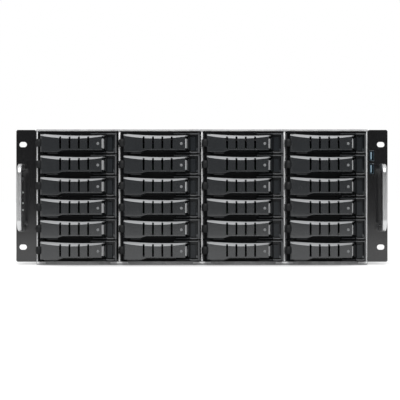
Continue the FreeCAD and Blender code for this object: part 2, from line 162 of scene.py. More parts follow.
# moulded plastics: what they share, then what each has of its own
plasticBase = {"grain": 2600.0, "roughness": (0.34, 0.46), "gloss": 0.5, "wear": 0.2, "bump": 0.15,
               "bumpDepth": 0.00006}
plasticLooks = {
    "leverPlastic": {"dark": (0.0125, 0.0138, 0.0152), "light": (0.018, 0.0198, 0.0216),
                     "scuff": (0.06, 0.06, 0.064), "roughness": (0.15, 0.23), "gloss": 0.82, "wear": 0.25,
                     "bump": 0.06},
    "leverNose": {"dark": (0.006, 0.0064, 0.0069), "light": (0.0085, 0.009, 0.0095),
                  "scuff": (0.04, 0.04, 0.042), "roughness": (0.5, 0.6), "gloss": 0.2, "wear": 0.25,
                  "bump": 0.1},
    # the lever's top slope, painted pale as a highlight of the overhead lamp
    "leverBandPaintedHighlight": {"dark": (0.262, 0.267, 0.274), "light": (0.32, 0.326, 0.332), "scuff": (0.42, 0.42, 0.43),
                  "grain": 2200.0, "roughness": (0.30, 0.42), "wear": 0.3, "bump": 0.12},
    # the bar on the lever's end, painted pale as a highlight on that end
    "tipStripPaintedHighlight": {"dark": (0.43, 0.436, 0.442), "light": (0.5, 0.506, 0.512), "scuff": (0.58, 0.58, 0.58),
                 "grain": 2400.0, "roughness": (0.28, 0.4), "bump": 0.1},
    "thumbPip": {"dark": (0.13, 0.134, 0.138), "light": (0.165, 0.169, 0.173), "scuff": (0.24, 0.24, 0.24),
                 "grain": 2400.0, "bump": 0.12},
    # black plastic of the bezel, darkened further as painted shade so the gaps under the levers read black
    "carrierBlackAndPaintedShade": {"dark": (0.0015, 0.0017, 0.002), "light": (0.003, 0.0033, 0.0037),
                     "scuff": (0.03, 0.03, 0.032), "roughness": (0.4, 0.52), "gloss": 0.1, "bump": 0.2},
    "releaseButton": {"dark": (0.004, 0.0055, 0.007), "light": (0.0065, 0.0085, 0.0105),
                      "scuff": (0.04, 0.045, 0.05), "roughness": (0.26, 0.36), "gloss": 0.4, "wear": 0.25},
    # lighter copy of the bezel plastic, painted highlight on the pocket's sill, the hinge tab and the left
    # rim
    "pocketSillPaintedHighlight": {"dark": (0.03, 0.031, 0.033), "light": (0.04, 0.042, 0.044), "scuff": (0.08, 0.08, 0.085)},
    # lighter copy of the bezel plastic, painted highlight along the bezel's rims and the foot ledge
    "bezelRimPaintedHighlight": {"dark": (0.043, 0.045, 0.047), "light": (0.057, 0.059, 0.062), "scuff": (0.1, 0.1, 0.105),
                 "wear": 0.25},
    "fanBlack": {"dark": (0.015, 0.015, 0.016), "light": (0.023, 0.023, 0.024), "scuff": (0.07, 0.07, 0.07),
                 "grain": 1800.0, "roughness": (0.42, 0.55), "wear": 0.3, "bump": 0.2},
    "connectorBlack": {"dark": (0.017, 0.017, 0.018), "light": (0.026, 0.026, 0.027),
                       "scuff": (0.07, 0.07, 0.07), "grain": 2400.0, "roughness": (0.38, 0.5)},
    "socketTongue": {"dark": (0.16, 0.24, 0.30), "light": (0.21, 0.30, 0.36), "scuff": (0.3, 0.36, 0.4),
                     "bump": 0.12},
    "socketShell": {"dark": (0.022, 0.042, 0.058), "light": (0.03, 0.056, 0.076), "scuff": (0.08, 0.1, 0.12),
                    "bump": 0.12},
    "switchBlack": {"dark": (0.02, 0.021, 0.023), "light": (0.03, 0.031, 0.034), "scuff": (0.09, 0.09, 0.09),
                    "roughness": (0.3, 0.42), "wear": 0.25, "bump": 0.12},
}


def mouldedPlastic(name, look):  # grain, smears in the gloss, paler scuffs
    material, tree, shader, place = startMaterial(name)
    grain = placeGroup(tree, grainGroup, place, Scale=look["grain"])
    marks = placeGroup(tree, smearGroup, place)
    colour = mixedColour(tree, grain["Mask"], look["dark"], look["light"])
    worn = maths(tree, "MULTIPLY", marks["Scuff"], look["wear"])
    fillIn(tree, shader, Base_Color=mixedColour(tree, worn, colour, look["scuff"]),
           Roughness=ranged(tree, marks["Smear"], *look["roughness"]), Specular_IOR_Level=look["gloss"],
           Normal=bumped(tree, grain["Height"], look))
    return material


plastics = {name: mouldedPlastic(name, {**plasticBase, **look}) for name, look in plasticLooks.items()}

earLook = {"dark": (0.0035, 0.0035, 0.004), "light": (0.006, 0.006, 0.0065), "roughness": (0.14, 0.22),
           "peel": 700.0, "smear": 12.0, "gloss": 0.85, "bump": 0.12, "bumpDepth": 0.00012}


def powderCoat(look):  # orange-peel satin black paint
    material, tree, shader, place = startMaterial("powderCoat")
    peel = noiseAt(tree, place, look["peel"], detail=3.0)
    marks = placeGroup(tree, smearGroup, place, Scale=look["smear"])
    fillIn(tree, shader, Base_Color=mixedColour(tree, peel, look["dark"], look["light"]),
           Roughness=ranged(tree, marks["Smear"], *look["roughness"]), Specular_IOR_Level=look["gloss"],
           Normal=bumped(tree, peel, look))
    return material


powder = powderCoat(earLook)

metalBase = {"metal": 1.0, "grazing": 1.0, "smear": 9.0, "crystals": 0.4, "bump": 0.12, "bumpDepth": 0.00005}
metalLooks = {
    "zincSteel": {"dark": (0.3, 0.305, 0.31), "light": (0.64, 0.645, 0.65), "roughness": (0.48, 0.62),
                  "metal": 0.6, "stretch": (900.0, 14.0, 900.0), "grazing": 0.7},
    "screwZinc": {"dark": (0.3, 0.3, 0.295), "light": (0.52, 0.52, 0.51), "roughness": (0.26, 0.4),
                  "stretch": (600.0, 600.0, 600.0), "crystals": 0.2, "bump": 0.1},
    "cageSteel": {"dark": (0.56, 0.565, 0.57), "light": (0.68, 0.685, 0.69), "roughness": (0.36, 0.5),
                  "metal": 0.35, "stretch": (900.0, 900.0, 14.0), "crystals": 0.25},
    # near-white and nearly without metal: the cage's front edges and the feet painted pale as a highlight
    "cutEdgePaintedHighlight": {"dark": (0.86, 0.865, 0.87), "light": (0.95, 0.953, 0.957), "roughness": (0.34, 0.46),
                "metal": 0.05, "stretch": (900.0, 900.0, 14.0), "crystals": 0.25},
    # darker copy of the zinc steel on the floor's front lip: painted shade under the front
    "lipSteelPaintedShade": {"dark": (0.16, 0.163, 0.167), "light": (0.30, 0.304, 0.31), "roughness": (0.4, 0.56),
                 "metal": 0.7, "stretch": (14.0, 900.0, 900.0)},
    # lighter copy of the zinc steel on the top panel's front edge: painted highlight
    "topLipPaintedHighlight": {"dark": (0.42, 0.423, 0.427), "light": (0.73, 0.734, 0.74), "roughness": (0.4, 0.56),
               "metal": 0.7, "stretch": (14.0, 900.0, 900.0)},
    "handleAluminium": {"dark": (0.50, 0.505, 0.51), "light": (0.66, 0.665, 0.67), "roughness": (0.26, 0.38),
                        "stretch": (1500.0, 1500.0, 20.0), "crystals": 0.0, "bump": 0.2},
}


def rolledMetal(name, look):  # bare sheet or bar with its drawn lines
    material, tree, shader, place = startMaterial(name)
    rolled = placeGroup(tree, rolledGroup, place, Stretch=look["stretch"])
    marks = placeGroup(tree, smearGroup, place, Scale=look["smear"])
    blend = addNode(tree, "ShaderNodeMix", data_type="FLOAT", A=rolled["Lines"], B=rolled["Crystals"],
                    Factor=look["crystals"])
    fillIn(tree, shader, Base_Color=mixedColour(tree, blend.outputs["Result"], look["dark"], look["light"]),
           Roughness=ranged(tree, marks["Smear"], *look["roughness"]), Metallic=look["metal"],
           Specular_Tint=[look["grazing"]] * 3, Normal=bumped(tree, rolled["Lines"], look))
    return material


metals = {name: rolledMetal(name, {**metalBase, **look}) for name, look in metalLooks.items()}

lensLook = {"cloud": 500.0, "shade": 0.8, "roughness": 0.16, "coat": 0.4}


def clearLens(name, colour, look):  # unlit indicator lens or light pipe
    material, tree, shader, place = startMaterial(name)
    cloud = noiseAt(tree, place, look["cloud"])
    shaded = [part * look["shade"] for part in colour]
    fillIn(tree, shader, Base_Color=mixedColour(tree, cloud, shaded, colour), Roughness=look["roughness"],
           Coat_Weight=look["coat"])
    return material


lensClear = clearLens("lensClear", (0.05, 0.055, 0.06), lensLook)
lensPale = clearLens("lensPale", (0.23, 0.25, 0.24), lensLook)

boardLook = {"dark": (0.012, 0.062, 0.03), "light": (0.02, 0.1, 0.048), "tracks": 220.0, "trackWidth": 0.03,
             "roughness": 0.3, "edges": {"width": 0.0002, "segments": 1}}


def circuitBoard(look):  # solder mask over faint copper tracks
    material, tree, shader, place = startMaterial("circuitBoard")
    upright = addNode(tree, "ShaderNodeMapping", Vector=place, Rotation=(math.radians(90), 0, 0))
    tracks = addNode(tree, "ShaderNodeTexBrick", Vector=upright.outputs["Vector"], Scale=look["tracks"],
                     Mortar_Size=look["trackWidth"], Color1=look["dark"], Color2=look["dark"],
                     Mortar=look["light"])
    fillIn(tree, shader, Base_Color=tracks.outputs["Color"], Roughness=look["roughness"])
    return material


board = circuitBoard(boardLook)
print("materials:", len(bpy.data.materials))

smoothLimit = math.radians(32)  # edges that turn more than this stay sharp
bevelLimit = math.radians(30)
flatLimit = math.radians(1)  # triangles that turn less are one flat face
mergeDistance = 0.000002


def addObject(name, data):
    made = bpy.data.objects.new(name, data)
    bpy.context.scene.collection.objects.link(made)
    return made


def meshObject(name, bm, materials):
    mesh = bpy.data.meshes.new(name)
    bm.to_mesh(mesh)
    bm.free()
    for material in materials:
        mesh.materials.append(material)
    return addObject(name, mesh)


def finishPiece(name, bm, materials, body, replaced=(), bevel=None):
    piece = meshObject(name, bm, materials)
    mesh = piece.data
    mesh.polygons.foreach_set("use_smooth", [True] * len(mesh.polygons))
    mesh.set_sharp_from_angle(angle=smoothLimit)
    if bevel:
        rounding = piece.modifiers.new("edges", "BEVEL")
        rounding.width = bevel["width"]
        rounding.segments = bevel["segments"]
        rounding.limit_method = "ANGLE"
        rounding.angle_limit = bevelLimit
    piece.modifiers.new("flats", "WEIGHTED_NORMAL").keep_sharp = True  # broad faces stay flat
    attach(piece, body)
    if replaced:
        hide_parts(*replaced)


# small helpers for meshes
def mergedCopy(node):  # a CAD node's triangles, merged and cleaned to flat faces
    bm = bmesh.new()
    bm.from_mesh(nodes[node].data)
    bmesh.ops.remove_doubles(bm, verts=bm.verts, dist=mergeDistance)
    bmesh.ops.dissolve_limit(bm, angle_limit=flatLimit, verts=bm.verts, edges=bm.edges)
    return bm


def facesOf(verts):
    return {face for vert in verts for face in vert.link_faces}


def ofKind(geom, kind):
    return [part for part in geom if isinstance(part, kind)]


def islands(bm):  # the faces of each separate solid
    found = []
    waiting = set(bm.faces)
    while waiting:
        stack = [waiting.pop()]
        island = []
        while stack:
            face = stack.pop()
            island.append(face)
            for near in facesOf(face.verts) & waiting:
                waiting.discard(near)
                stack.append(near)
        found.append(island)
    return found


def extent(faces, axis):
    places = [vert.co[axis] for face in faces for vert in face.verts]
    return min(places), max(places)


def indexOf(finishes, name):
    return list(finishes).index(name)


def paint(faces, index):
    for face in faces:
        face.material_index = index


def facesInside(bm, low, high):  # faces whose middle lies in a box
    def inside(middle):
        return all(low[axis] <= middle[axis] <= high[axis] for axis in range(3))

    return [face for face in bm.faces if inside(face.calc_center_median())]


def roundEdges(bm, edges, offset, segments):
    bmesh.ops.bevel(bm, geom=edges, offset=offset, offset_type="OFFSET", segments=segments, profile=0.5,
                    affect="EDGES", clamp_overlap=True, material=-1)


def softBlock(bm, matrix, rounding, segments, index=0):  # a unit cube placed by its matrix, edges rounded
    verts = bmesh.ops.create_cube(bm, size=1.0, matrix=matrix)["verts"]
    paint(facesOf(verts), index)
    roundEdges(bm, list({edge for vert in verts for edge in vert.link_edges}), rounding, segments)


def spinLine(bm, places, centre, axis, steps):
    line = [bm.verts.new(place) for place in places]
    edges = [bm.edges.new(pair) for pair in zip(line, line[1:])]
    bmesh.ops.spin(bm, geom=line + edges, cent=centre, axis=axis, angle=math.tau, steps=steps, use_merge=True)


# camera at the photograph's angle: level, square to the front, a little above mid-height
cameraLook = {"aim": (-0.0025, -0.33, 0.0842), "distance": 1.35, "fieldWidth": 0.52}


def placeCamera(look):
    data = bpy.data.cameras.new("camera")
    camera = addObject("camera", data)
    camera.location = (look["aim"][0], look["aim"][1] - look["distance"], look["aim"][2])
    camera.rotation_euler = (math.radians(90), 0, 0)
    data.sensor_fit = "HORIZONTAL"
    data.angle = 2 * math.atan(look["fieldWidth"] / 2 / look["distance"])
    data.clip_end = 100
    bpy.context.scene.camera = camera


placeCamera(cameraLook)

# plain studio: white surroundings, a wide soft lamp high in front with a small fill, dim cloths to mirror
white = (1, 1, 1)
sideCloth = {"turn": 90, "yaw": 90, "size": (1.6, 1.4), "glow": 0.3}
studioLook = {"surroundings": 0.36, "floorSize": 30.0, "floorColour": (0.82, 0.82, 0.82),
              "floorRoughness": 0.9, "floorGlow": {"near": 0.45, "far": 0.85, "from": 0.5, "to": 2.4},
              "overhead": {"place": (-0.08, -1.7, 1.8), "aim": (0.0, -0.33, 0.09), "size": (1.7, 1.0),
                           "power": 44.0, "mirrored": True},
              "fill": {"place": (0.0, -2.2, 0.7), "aim": (0.0, -0.33, 0.09), "size": (0.3, 0.5), "power": 8.5,
                       "mirrored": False},
              "contact": {"reach": 0.1, "front": (-0.336, -0.326), "sides": (0.17, 0.25), "darkest": 0.25},
              "clothColour": (0.01, 0.01, 0.01),
              "cloth": {"standing": {"place": (0, -2.4, 1.3), "turn": 90, "size": (5.0, 2.6), "glow": 0.06},
                        "lying": {"place": (0, -1.87, 0.004), "turn": 0, "size": (5.0, 1.06), "glow": 0.06},
                        "leftSide": {"place": (-1.5, -0.9, 0.7), **sideCloth},
                        "rightSide": {"place": (1.5, -0.9, 0.7), **sideCloth}}}


def placeLamp(name, look):
    data = bpy.data.lights.new(name, "AREA")
    data.shape = "RECTANGLE"
    data.size, data.size_y = look["size"]
    data.energy = look["power"]
    lamp = addObject(name, data)
    lamp.location = look["place"]
    lamp.rotation_euler = (Vector(look["aim"]) - Vector(look["place"])).to_track_quat("-Z", "Y").to_euler()
    lamp.visible_glossy = look["mirrored"]


def seenDirectly(tree):  # 1 for camera, mirror and glass rays, 0 for the light that surfaces receive
    rays = tree.nodes.new("ShaderNodeLightPath").outputs
    seen = maths(tree, "MAXIMUM", rays["Is Camera Ray"], rays["Is Glossy Ray"])
    return maths(tree, "MAXIMUM", seen, rays["Is Transmission Ray"])


def placeCloth(name, look, colour):  # what the front faces mirror; cameras look through it
    bm = bmesh.new()
    bmesh.ops.create_grid(bm, x_segments=1, y_segments=1, size=0.5, matrix=Matrix.Translation(look["place"])
                          @ Matrix.Rotation(math.radians(look.get("yaw", 0)), 4, "Z")
                          @ Matrix.Rotation(math.radians(look["turn"]), 4, "X")
                          @ Matrix.Diagonal((*look["size"], 1, 1)))
    material, tree, shader, place = startMaterial(name)
    fillIn(tree, shader, Base_Color=colour, Roughness=1.0, Emission_Color=white,
           Emission_Strength=look["glow"])
    cloth = meshObject(name, bm, [material])
    cloth.visible_camera = cloth.visible_diffuse = cloth.visible_shadow = False


def contactShade(tree, place, look):  # 1 on open floor, less where the front closes off the light
    spot = addNode(tree, "ShaderNodeSeparateXYZ", Vector=place).outputs
    sideways = maths(tree, "ABSOLUTE", spot["X"])
    closed = addNode(tree, "ShaderNodeAmbientOcclusion", Distance=look["reach"], samples=16).outputs["AO"]
    shade = ranged(tree, closed, 1.0, 0.0)
    for value, limits in ((spot["Y"], look["front"]), (sideways, look["sides"])):
        shade = maths(tree, "MULTIPLY", shade, ranged(tree, value, 1.0, 0.0, *limits))
    return ranged(tree, shade, 1.0, look["darkest"])


def layFloor(look):
    material, tree, shader, place = startMaterial("floorPaper")
    clear = contactShade(tree, place, look["contact"])
    glow = look["floorGlow"]  # grows outward as the lamp's light falls off, so the paper stays white
    distance = addNode(tree, "ShaderNodeVectorMath", operation="LENGTH", Vector=place).outputs["Value"]
    spread = ranged(tree, distance, glow["near"], glow["far"], glow["from"], glow["to"])
    shown = maths(tree, "MULTIPLY", spread, seenDirectly(tree))
    fillIn(tree, shader, Base_Color=mixedColour(tree, clear, (0, 0, 0), look["floorColour"]),
           Roughness=look["floorRoughness"], Specular_IOR_Level=0.0, Emission_Color=white,
           Emission_Strength=maths(tree, "MULTIPLY", shown, clear))
    bm = bmesh.new()
    bmesh.ops.create_grid(bm, x_segments=1, y_segments=1, size=look["floorSize"])
    floor = meshObject("floor", bm, [material])


def buildStudio(look):
    world = bpy.data.worlds.new("studio")
    bpy.context.scene.world = world
    world.use_nodes = True
    tree = world.node_tree
    fillIn(tree, tree.nodes["Background"], Color=white,
           Strength=ranged(tree, seenDirectly(tree), look["surroundings"], 1.0))
    layFloor(look)
    for name in ("overhead", "fill"):
        placeLamp(name, look[name])
    for name, cloth in look["cloth"].items():
        placeCloth(name + "Cloth", cloth, look["clothColour"])
    bpy.context.scene.view_settings.view_transform = "Standard"


buildStudio(studioLook)
print("studio: camera, floor, lamps")

# lever: everything in millimetres from its bay's corner; the frame gives the corner
bayLook = {"railGap": 0.3, "bezelGap": 0.25, "lugReach": 15.4, "pitch": 107.2, "divider": 2.2}


def bayCorner(bay):
    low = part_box("carrier_" + bay)[0]
    return Vector((low.x - bayLook["railGap"] * mm, low.y + bayLook["lugReach"] * mm,
                   low.z - bayLook["bezelGap"] * mm))


leverLook = {"left": 4.6, "right": 87.1, "bowEnd": 89.0, "tipStart": 84.6, "tipDepth": 8.2, "endRound": 5.4,
             "front": -17.0, "back": -7.8, "topLeft": 25.5, "topMiddle": 22.95, "topRight": 23.75,
             "bottom": 1.0, "neck": 3.4, "blockEnd": 27.0, "slopeEnd": 34.6, "lowerBevel": 1.2,
             "bandLeft": 2.45, "bandMiddle": 3.75, "bandRight": 1.1, "bandDepth": 3.4, "bandTail": 1.7,
             "bandStart": 1.5, "bandSlack": 1.0, "tipSlack": 0.5, "frontSlack": 0.2, "grooves": 4,
             "shareLimits": (0.35, 0.75), "grooveFirst": 31.2, "groovePitch": 12.0, "grooveWidth": 2.3,
             "grooveTop": 21.75, "grooveBottom": 6.05, "stationGap": 4.5, "rounding": 0.32, "sharpTurn": 20,
             "nose": {"x": 3.3, "y": -12.4, "z": 13.85, "radius": 4.4, "height": 9.6, "taper": 1.4},
             "strip": {"x": 85.8, "bottom": 6.6, "top": 18.9, "width": 7.4, "thickness": 0.8,
                       "rounding": 0.35},
             "pip": {"x": 79.6, "z": 12.6, "radius": 1.8, "height": 0.7}}
leverNames = ("leverPlastic", "leverBandPaintedHighlight", "tipStripPaintedHighlight", "thumbPip", "leverNose")
quarterTurns = [math.radians(turn) for turn in (30, 60, 90)]
joinDistance = 0.0001  # for points that a spin leaves on its axis, in millimetres


def bowed(x, points):  # smooth curve through three points
    across = [point[0] for point in points]
    total = 0.0
    for here, height in points:
        total += height * math.prod((x - other) / (here - other) for other in across if other != here)
    return total


def tipShare(look, x):  # 0 where the lever's end starts to turn back, 1 at its last point
    return (x - look["tipStart"]) / (look["right"] - look["tipStart"])


def grooveCentres(look):
    return [look["grooveFirst"] + index * look["groovePitch"] for index in range(look["grooves"])]


def leverStations(look):
    keys = [look[name] for name in ("left", "blockEnd", "slopeEnd", "tipStart", "right")]
    for centre in grooveCentres(look):
        keys += [centre - look["grooveWidth"] / 2, centre + look["grooveWidth"] / 2]
    keys += [look["left"] + look["endRound"] * (1 - math.cos(turn)) for turn in quarterTurns]
    keys.sort()
    stations = [keys[0]]
    for key in keys[1:]:
        start = stations[-1]
        gap = key - start
        steps = max(1, math.ceil(gap / look["stationGap"]))
        stations += [start + gap * (step + 1) / steps for step in range(steps)]
    return stations


def leverPoint(look, x, line):  # front sheet: lines 0 to 5 run from the bottom edge to the top edge
    slope = min(1.0, max(0.0, (x - look["blockEnd"]) / (look["slopeEnd"] - look["blockEnd"])))
    bottom = look["bottom"] + slope * (look["neck"] - look["bottom"])
    places = {"Left": look["left"], "Middle": (look["left"] + look["bowEnd"]) / 2, "Right": look["bowEnd"]}
    top = bowed(x, [(place, look["top" + name]) for name, place in places.items()])
    band = bowed(x, [(place, look["top" + name] - look["band" + name]) for name, place in places.items()])
    least, most = look["shareLimits"]
    share = min(most, max(least, (look["grooveTop"] - band) / (top - band)))
    end = max(0.0, tipShare(look, x))
    inset = max(0.0, 1 - (x - look["left"]) / look["endRound"])  # the hinge end turns back on a quarter round
    tip = max(end * look["tipDepth"], look["endRound"] * (1 - math.sqrt(1 - inset * inset)))
    bend = band + share * (top - band)
    heights = [bottom, bottom + look["lowerBevel"], look["grooveBottom"], band, bend, top]
    depths = [look["bandDepth"], 0, 0, 0, share * look["bandDepth"], look["bandDepth"]]
    tail = look["bandTail"] * end if line > 3 else 0.0
    return Vector((x + tail, look["front"] + max(depths[line], tip), heights[line]))


def inGroove(look, middle):
    beside = any(abs(middle.x - centre) < look["grooveWidth"] / 2 for centre in grooveCentres(look))
    return beside and look["grooveBottom"] < middle.z < look["grooveTop"]


def onBand(look, middle):  # the band painted pale as a highlight is the slope along the top, not the end below it
    sloped = middle.y > look["front"] + look["frontSlack"] and middle.x > look["left"] + look["bandStart"]
    high = middle.z > look["topMiddle"] - look["bandMiddle"] - look["bandSlack"]
    below = middle.z < look["topRight"] - look["bandRight"] - look["tipSlack"]
    return sloped and high and not (below and middle.x > look["tipStart"])


def sharpEdges(bm, turn):
    pairs = [edge for edge in bm.edges if len(edge.link_faces) == 2]
    return [edge for edge in pairs if edge.calc_face_angle(0) > math.radians(turn)]


def leverBody(look):
    stations = leverStations(look)
    lines = 6
    bm = bmesh.new()
    bmesh.ops.create_grid(bm, x_segments=len(stations) - 1, y_segments=lines - 1, size=1.0)
    for vert in bm.verts:
        column = round((vert.co.x + 1) / 2 * (len(stations) - 1))
        line = round((vert.co.y + 1) / 2 * (lines - 1))
        vert.co = leverPoint(look, stations[column], line)
    openings = [face for face in bm.faces if inGroove(look, face.calc_center_median())]
    bmesh.ops.delete(bm, geom=openings, context="FACES")
    # the top slope gets the pale band, a painted highlight
    paint([face for face in bm.faces if onBand(look, face.calc_center_median())],
          indexOf(leverNames, "leverBandPaintedHighlight"))
    swept = bmesh.ops.extrude_face_region(bm, geom=bm.faces[:])["geom"]
    for vert in ofKind(swept, BMVert):
        vert.co.y = look["back"]
    paint(ofKind(swept, BMFace), indexOf(leverNames, "leverPlastic"))
    bmesh.ops.recalc_face_normals(bm, faces=bm.faces)
    roundEdges(bm, sharpEdges(bm, look["sharpTurn"]), look["rounding"], segments=2)
    return bm


def leverNose(bm, look):  # the cam beside the hinge, a barrel spun from its bowed side
    x, y, z = (look[axis] for axis in "xyz")
    half = look["height"] / 2
    steps = 8
    side = [(x, y, z - half)]
    for step in range(steps + 1):
        height = half * (2 * step / steps - 1)
        side.append((x - look["radius"] + look["taper"] * (height / half) ** 2, y, z + height))
    side.append((x, y, z + half))
    older = set(bm.faces)
    spinLine(bm, side, (x, y, z), axis=(0, 0, 1), steps=32)
    reached = [vert for vert in bm.verts if vert.co.x < x + look["radius"] + 0.1]
    bmesh.ops.remove_doubles(bm, verts=reached, dist=joinDistance)
    paint(set(bm.faces) - older, indexOf(leverNames, "leverNose"))


def leverShape(look):  # on the body's end a raised bar painted pale as a highlight, and a low dome, both half sunk
    bm = leverBody(look)
    leverNose(bm, look["nose"])
    strip, pip = look["strip"], look["pip"]
    turn = math.atan2(look["tipDepth"], look["right"] - look["tipStart"])
    barPlace = Matrix.Translation((strip["x"], look["front"] + look["tipDepth"] * tipShare(look, strip["x"]),
                                   (strip["bottom"] + strip["top"]) / 2))
    barSize = Matrix.Diagonal((strip["width"], strip["thickness"], strip["top"] - strip["bottom"], 1))
    softBlock(bm, barPlace @ Matrix.Rotation(turn, 4, "Z") @ barSize, strip["rounding"], segments=3,
              index=indexOf(leverNames, "tipStripPaintedHighlight"))
    domePlace = Matrix.Translation((pip["x"], look["front"], pip["z"]))
    domeSize = Matrix.Diagonal((2 * pip["radius"], pip["height"], 2 * pip["radius"], 1))
    dome = bmesh.ops.create_uvsphere(bm, u_segments=20, v_segments=12, radius=0.5,
                                     matrix=domePlace @ domeSize)
    paint(facesOf(dome["verts"]), indexOf(leverNames, "thumbPip"))
    bmesh.ops.scale(bm, vec=(mm, mm, mm), verts=bm.verts)
    return bm


leverPattern = leverShape(leverLook)
leverFinishes = [plastics[name] for name in leverNames]
for bay in bays:
    lever = "lever_" + bay
    copy = leverPattern.copy()
    bmesh.ops.translate(copy, vec=bayCorner(bay), verts=copy.verts)
    finishPiece("leverShell_" + bay, copy, leverFinishes, lever, [lever])
leverPattern.free()
print("levers:", len(bays))

# carrier: the moulded bezel with its rails; button and light pipe have their own finish
carrierLook = {"edges": {"width": 0.00045, "segments": 3}, "buttonCap": 1.0, "buttonDrop": 3.5,
               "sill": {"left": 90.2, "right": 100.8, "front": -14.0, "low": 1.1, "rise": 1.1, "run": 1.2,
                        "dish": 0.7, "body": 0.8},
               "button": ((91.0, -12.6, 3.4), (97.9, -7.4, 24.4)),
               "pipe": ((98.0, -9.7, 3.4), (101.0, -7.4, 6.7))}
# ledges default to the rim's lighter copy, a painted highlight; the hinge tab and left rim take the sill's
ledgeBase = {"finish": "rim", "rounding": 0.3}
ledgeLooks = {
    "hingeTab": {"centre": (-0.4, -4.6, 13.7), "size": (2.3, 3.4, 9.6), "finish": "sill", "rounding": 0.9},
    "foot": {"centre": (20.8, -9.8, 0.6), "size": (13.4, 5.6, 0.66)},
    "rimTop": {"centre": (96.7, -10.1, 25.2), "size": (13.2, 6.3, 1.3)},
    "rimOver": {"centre": (80.0, -10.1, 25.2), "size": (20.6, 6.3, 1.3), "finish": "button"},
    "rimBottom": {"centre": (81.0, -9.2, 1.3), "size": (17.0, 4.6, 1.2), "finish": "button"},
    "flank": {"centre": (89.0, -8.8, 12.8), "size": (1.9, 3.8, 15.0), "finish": "button"},
    "rimLeft": {"centre": (1.1, -2.4, 13.4), "size": (1.5, 2.8, 26.0), "finish": "sill"},
    "rimSide": {"centre": (102.2, -12.6, 13.4), "size": (2.1, 1.3, 26.0)},
}
# bezel: black plastic darkened as painted shade; sill and rim: lighter copies of it as painted highlight
carrierFinishes = {"bezel": plastics["carrierBlackAndPaintedShade"], "button": plastics["releaseButton"], "pipe": lensClear,
                   "sill": plastics["pocketSillPaintedHighlight"], "rim": plastics["bezelRimPaintedHighlight"]}


def pocketSillPaintedHighlight(bm, look, corner):  # dished ledge along the bottom of the button's pocket, in a lighter copy of the bezel plastic as painted highlight
    middle = (look["left"] + look["right"]) / 2
    half = (look["right"] - look["left"]) / 2
    sheet = bmesh.ops.create_grid(bm, x_segments=10, y_segments=3, size=1.0)["verts"]
    for vert in sheet:
        across, back = vert.co.x, (vert.co.y + 1) / 2
        rise = look["low"] + look["rise"] * math.sin(back * math.pi / 2) + look["dish"] * across ** 4
        vert.co = corner + Vector((middle + half * across, look["front"] + look["run"] * back, rise)) * mm
    body = bmesh.ops.extrude_face_region(bm, geom=list(facesOf(sheet)))["geom"]
    lower = ofKind(body, BMVert)
    bmesh.ops.translate(bm, vec=(0, look["body"] * mm, -look["body"] * mm), verts=lower)
    solid = list(facesOf(lower + sheet))
    bmesh.ops.recalc_face_normals(bm, faces=solid)
    paint(solid, indexOf(carrierFinishes, "sill"))


def dressCarrier(bay, look):
    carrier = "carrier_" + bay
    corner = bayCorner(bay)
    bm = mergedCopy(carrier)
    for name in ("button", "pipe"):
        faces = facesInside(bm, *[corner + Vector(place) * mm for place in look[name]])
        paint(faces, indexOf(carrierFinishes, name))
    low, high = look["button"]
    for vert in bm.verts:  # the button ends below the pocket's top
        x, y, z = (vert.co - corner) / mm
        if low[0] < x < high[0] and low[1] < y < high[1] and high[2] - look["buttonCap"] < z < high[2]:
            vert.co.z -= look["buttonDrop"] * mm
    pocketSillPaintedHighlight(bm, look["sill"], corner)
    for ownLook in ledgeLooks.values():
        ledge = {**ledgeBase, **ownLook}
        place = Matrix.Translation(corner + Vector(ledge["centre"]) * mm)
        size = Matrix.Diagonal((*ledge["size"], 1)) @ Matrix.Diagonal((mm, mm, mm, 1))
        softBlock(bm, place @ size, ledge["rounding"] * mm, segments=3,
                  index=indexOf(carrierFinishes, ledge["finish"]))
    finishPiece("carrierTray_" + bay, bm, carrierFinishes.values(), carrier, [carrier],
                look["edges"])


for bay in bays:
    dressCarrier(bay, carrierLook)
print("carriers:", len(bays))

# sheet-metal and painted nodes keep their CAD shape, with rounded edges
shellBase = {"body": "chassis", "slot": "zinc_steel", "edges": {"width": 0.0003, "segments": 2}}
shellLooks = {
    "drive_cage": {"piece": "driveCage", "material": metals["cageSteel"], "frontEdgePaintedLight": metals["cutEdgePaintedHighlight"]},
    "chassis_base": {"piece": "steelTub", "material": metals["zincSteel"],
                     "frontEdgePaintedLight": metals["lipSteelPaintedShade"], "topEdgePaintedHighlight": metals["topLipPaintedHighlight"], "topDepth": 0.003,
                     "folds": ("bottom", "top"), "foldRadius": 0.0011,
                     "slotCovers": ((-190.0, -2.2, 4.0), (-46.0, -1.1, 126.0))},
    "top_cover": {"piece": "slidingCover", "material": metals["zincSteel"], "body": "top_cover",
                  "folds": ("top",), "foldRadius": 0.0011,
                  "edges": {"width": 0.00025, "segments": 2}},
    "rack_ears": {"piece": "rackEars", "material": powder, "slot": "black_paint", "innerEdge": 0.0015,
                  "innerCorner": 0.003, "edges": {"width": 0.0005, "segments": 3}},
    "ear_handles": {"piece": "pullHandles", "material": metals["handleAluminium"], "slot": "satin_aluminium",
                    "edges": {"width": 0.0012, "segments": 4}},
    "fan_wall": {"piece": "fanWall", "material": plastics["fanBlack"], "slot": "fan_plastic",
                 "partition": metals["zincSteel"], "openings": {"radius": 0.058, "sides": 8, "cuts": 4},
                 "edges": {"width": 0.0004, "segments": 2}},
}
frontDepth = 0.2 * mm  # faces this near the front plane belong to the front edge
wideSolid = 0.3  # only boards and the fans' partition are wider


